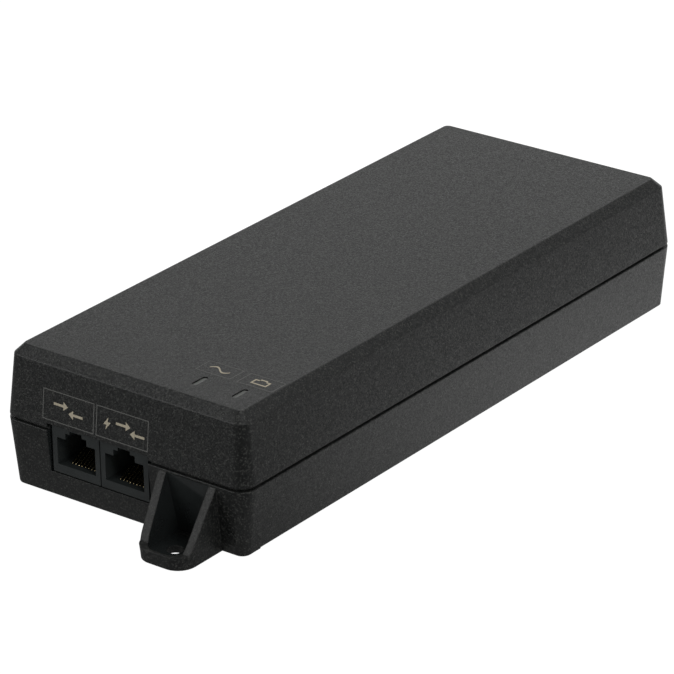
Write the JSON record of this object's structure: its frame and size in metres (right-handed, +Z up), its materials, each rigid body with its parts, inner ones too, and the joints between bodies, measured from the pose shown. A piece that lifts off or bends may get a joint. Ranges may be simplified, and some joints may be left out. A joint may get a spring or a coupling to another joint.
{
  "type": "poe injector",
  "caption": "Long black moulded power injector case with a pair of network ports and a screw ear at the front, a mains inlet and a screw ear at the rear, and slot lights on top.",
  "frame": {"origin": "centre of the plan, on the surface that the case rests on", "axes": "+Y from the network ports at the front to the mains inlet at the rear, +Z up, +X to the right seen from the front"},
  "size_m": [0.0738, 0.2072, 0.0363],
  "materials": {
    "textured_case": "spark-textured moulded ABS and polycarbonate blend",
    "zinc_screw": "zinc-plated steel",
    "rating_film": "blank polyester film",
    "jack_plastic": "smooth glass-filled polyester",
    "jack_insert": "smooth polyester",
    "gold_contact": "gold-plated phosphor bronze",
    "clear_pipe": "frosted clear polycarbonate",
    "led_body": "white reflector package",
    "inlet_plastic": "smooth moulded nylon",
    "nickel_blade": "nickel-plated brass",
    "fuse_glass": "clear glass tube",
    "blue_epoxy": "dipped epoxy",
    "green_epoxy": "dipped epoxy",
    "yellow_film_box": "moulded film-capacitor box",
    "bobbin_plastic": "glass-filled phenolic",
    "ferrite": "sintered manganese-zinc ferrite",
    "copper_wire": "enamelled copper wire",
    "black_epoxy": "transfer-moulded epoxy",
    "capacitor_sleeve": "shrunk sleeve over aluminium can",
    "yellow_tape": "polyester winding tape",
    "heatsink_aluminium": "folded sheet aluminium",
    "insulation_film": "fish-paper insulation sheet",
    "board_laminate": "glass-epoxy laminate with green mask"
  },
  "bodies": {
    "injector": {"blank_rating_plate": "rating_film", "board_screws": "zinc_screw", "bottom_case": "textured_case", "bridge_rectifier": "black_epoxy", "bulk_capacitor": "capacitor_sleeve", "case_screws": "zinc_screw", "choke_base": "bobbin_plastic", "choke_core": "ferrite", "choke_windings": "copper_wire", "circuit_board": "board_laminate", "data_contact_insert": "jack_insert", "data_contact_tails": "gold_contact", "data_isolation_transformer": "black_epoxy", "device_screws": "zinc_screw", "earth_blade": "nickel_blade", "feedback_optocoupler": "black_epoxy", "fuse_caps": "nickel_blade", "fuse_glass": "fuse_glass", "inlet_housing": "inlet_plastic", "inrush_thermistor": "green_epoxy", "insulation_sheet": "insulation_film", "jack_housing": "jack_plastic", "line_blade": "nickel_blade", "line_filter_capacitor": "yellow_film_box", "mains_led": "led_body", "mains_light_pipe": "clear_pipe", "neutral_blade": "nickel_blade", "output_capacitors": "capacitor_sleeve", "output_inductor_coil": "copper_wire", "output_inductor_core": "ferrite", "output_rectifier": "black_epoxy", "port_led": "led_body", "port_light_pipe": "clear_pipe", "port_power_controller": "black_epoxy", "power_contact_insert": "jack_insert", "power_contact_tails": "gold_contact", "power_isolation_transformer": "black_epoxy", "primary_control_chip": "black_epoxy", "primary_heatsink": "heatsink_aluminium", "safety_capacitors": "blue_epoxy", "secondary_heatsink": "heatsink_aluminium", "sense_resistor": "black_epoxy", "surge_varistor": "blue_epoxy", "switching_transistor": "black_epoxy", "top_cover": "textured_case", "transformer_bobbin": "bobbin_plastic", "transformer_coil": "yellow_tape", "transformer_core": "ferrite"},
    "data_contacts": {"data_contact_springs": "gold_contact"},
    "power_contacts": {"power_contact_springs": "gold_contact"}
  },
  "joints": [
    {"name": "data_contact_flex", "type": "hinge", "parent": "injector", "child": "data_contacts", "pos_m": [-0.01495, -0.0866, 0.00877], "axis": [1, 0, 0], "range_deg": [-14, 0], "stiffness_Nm_per_rad": 0.05},
    {"name": "power_contact_flex", "type": "hinge", "parent": "injector", "child": "power_contacts", "pos_m": [-0.00005, -0.0866, 0.00877], "axis": [1, 0, 0], "range_deg": [-14, 0], "stiffness_Nm_per_rad": 0.05}
  ]
}
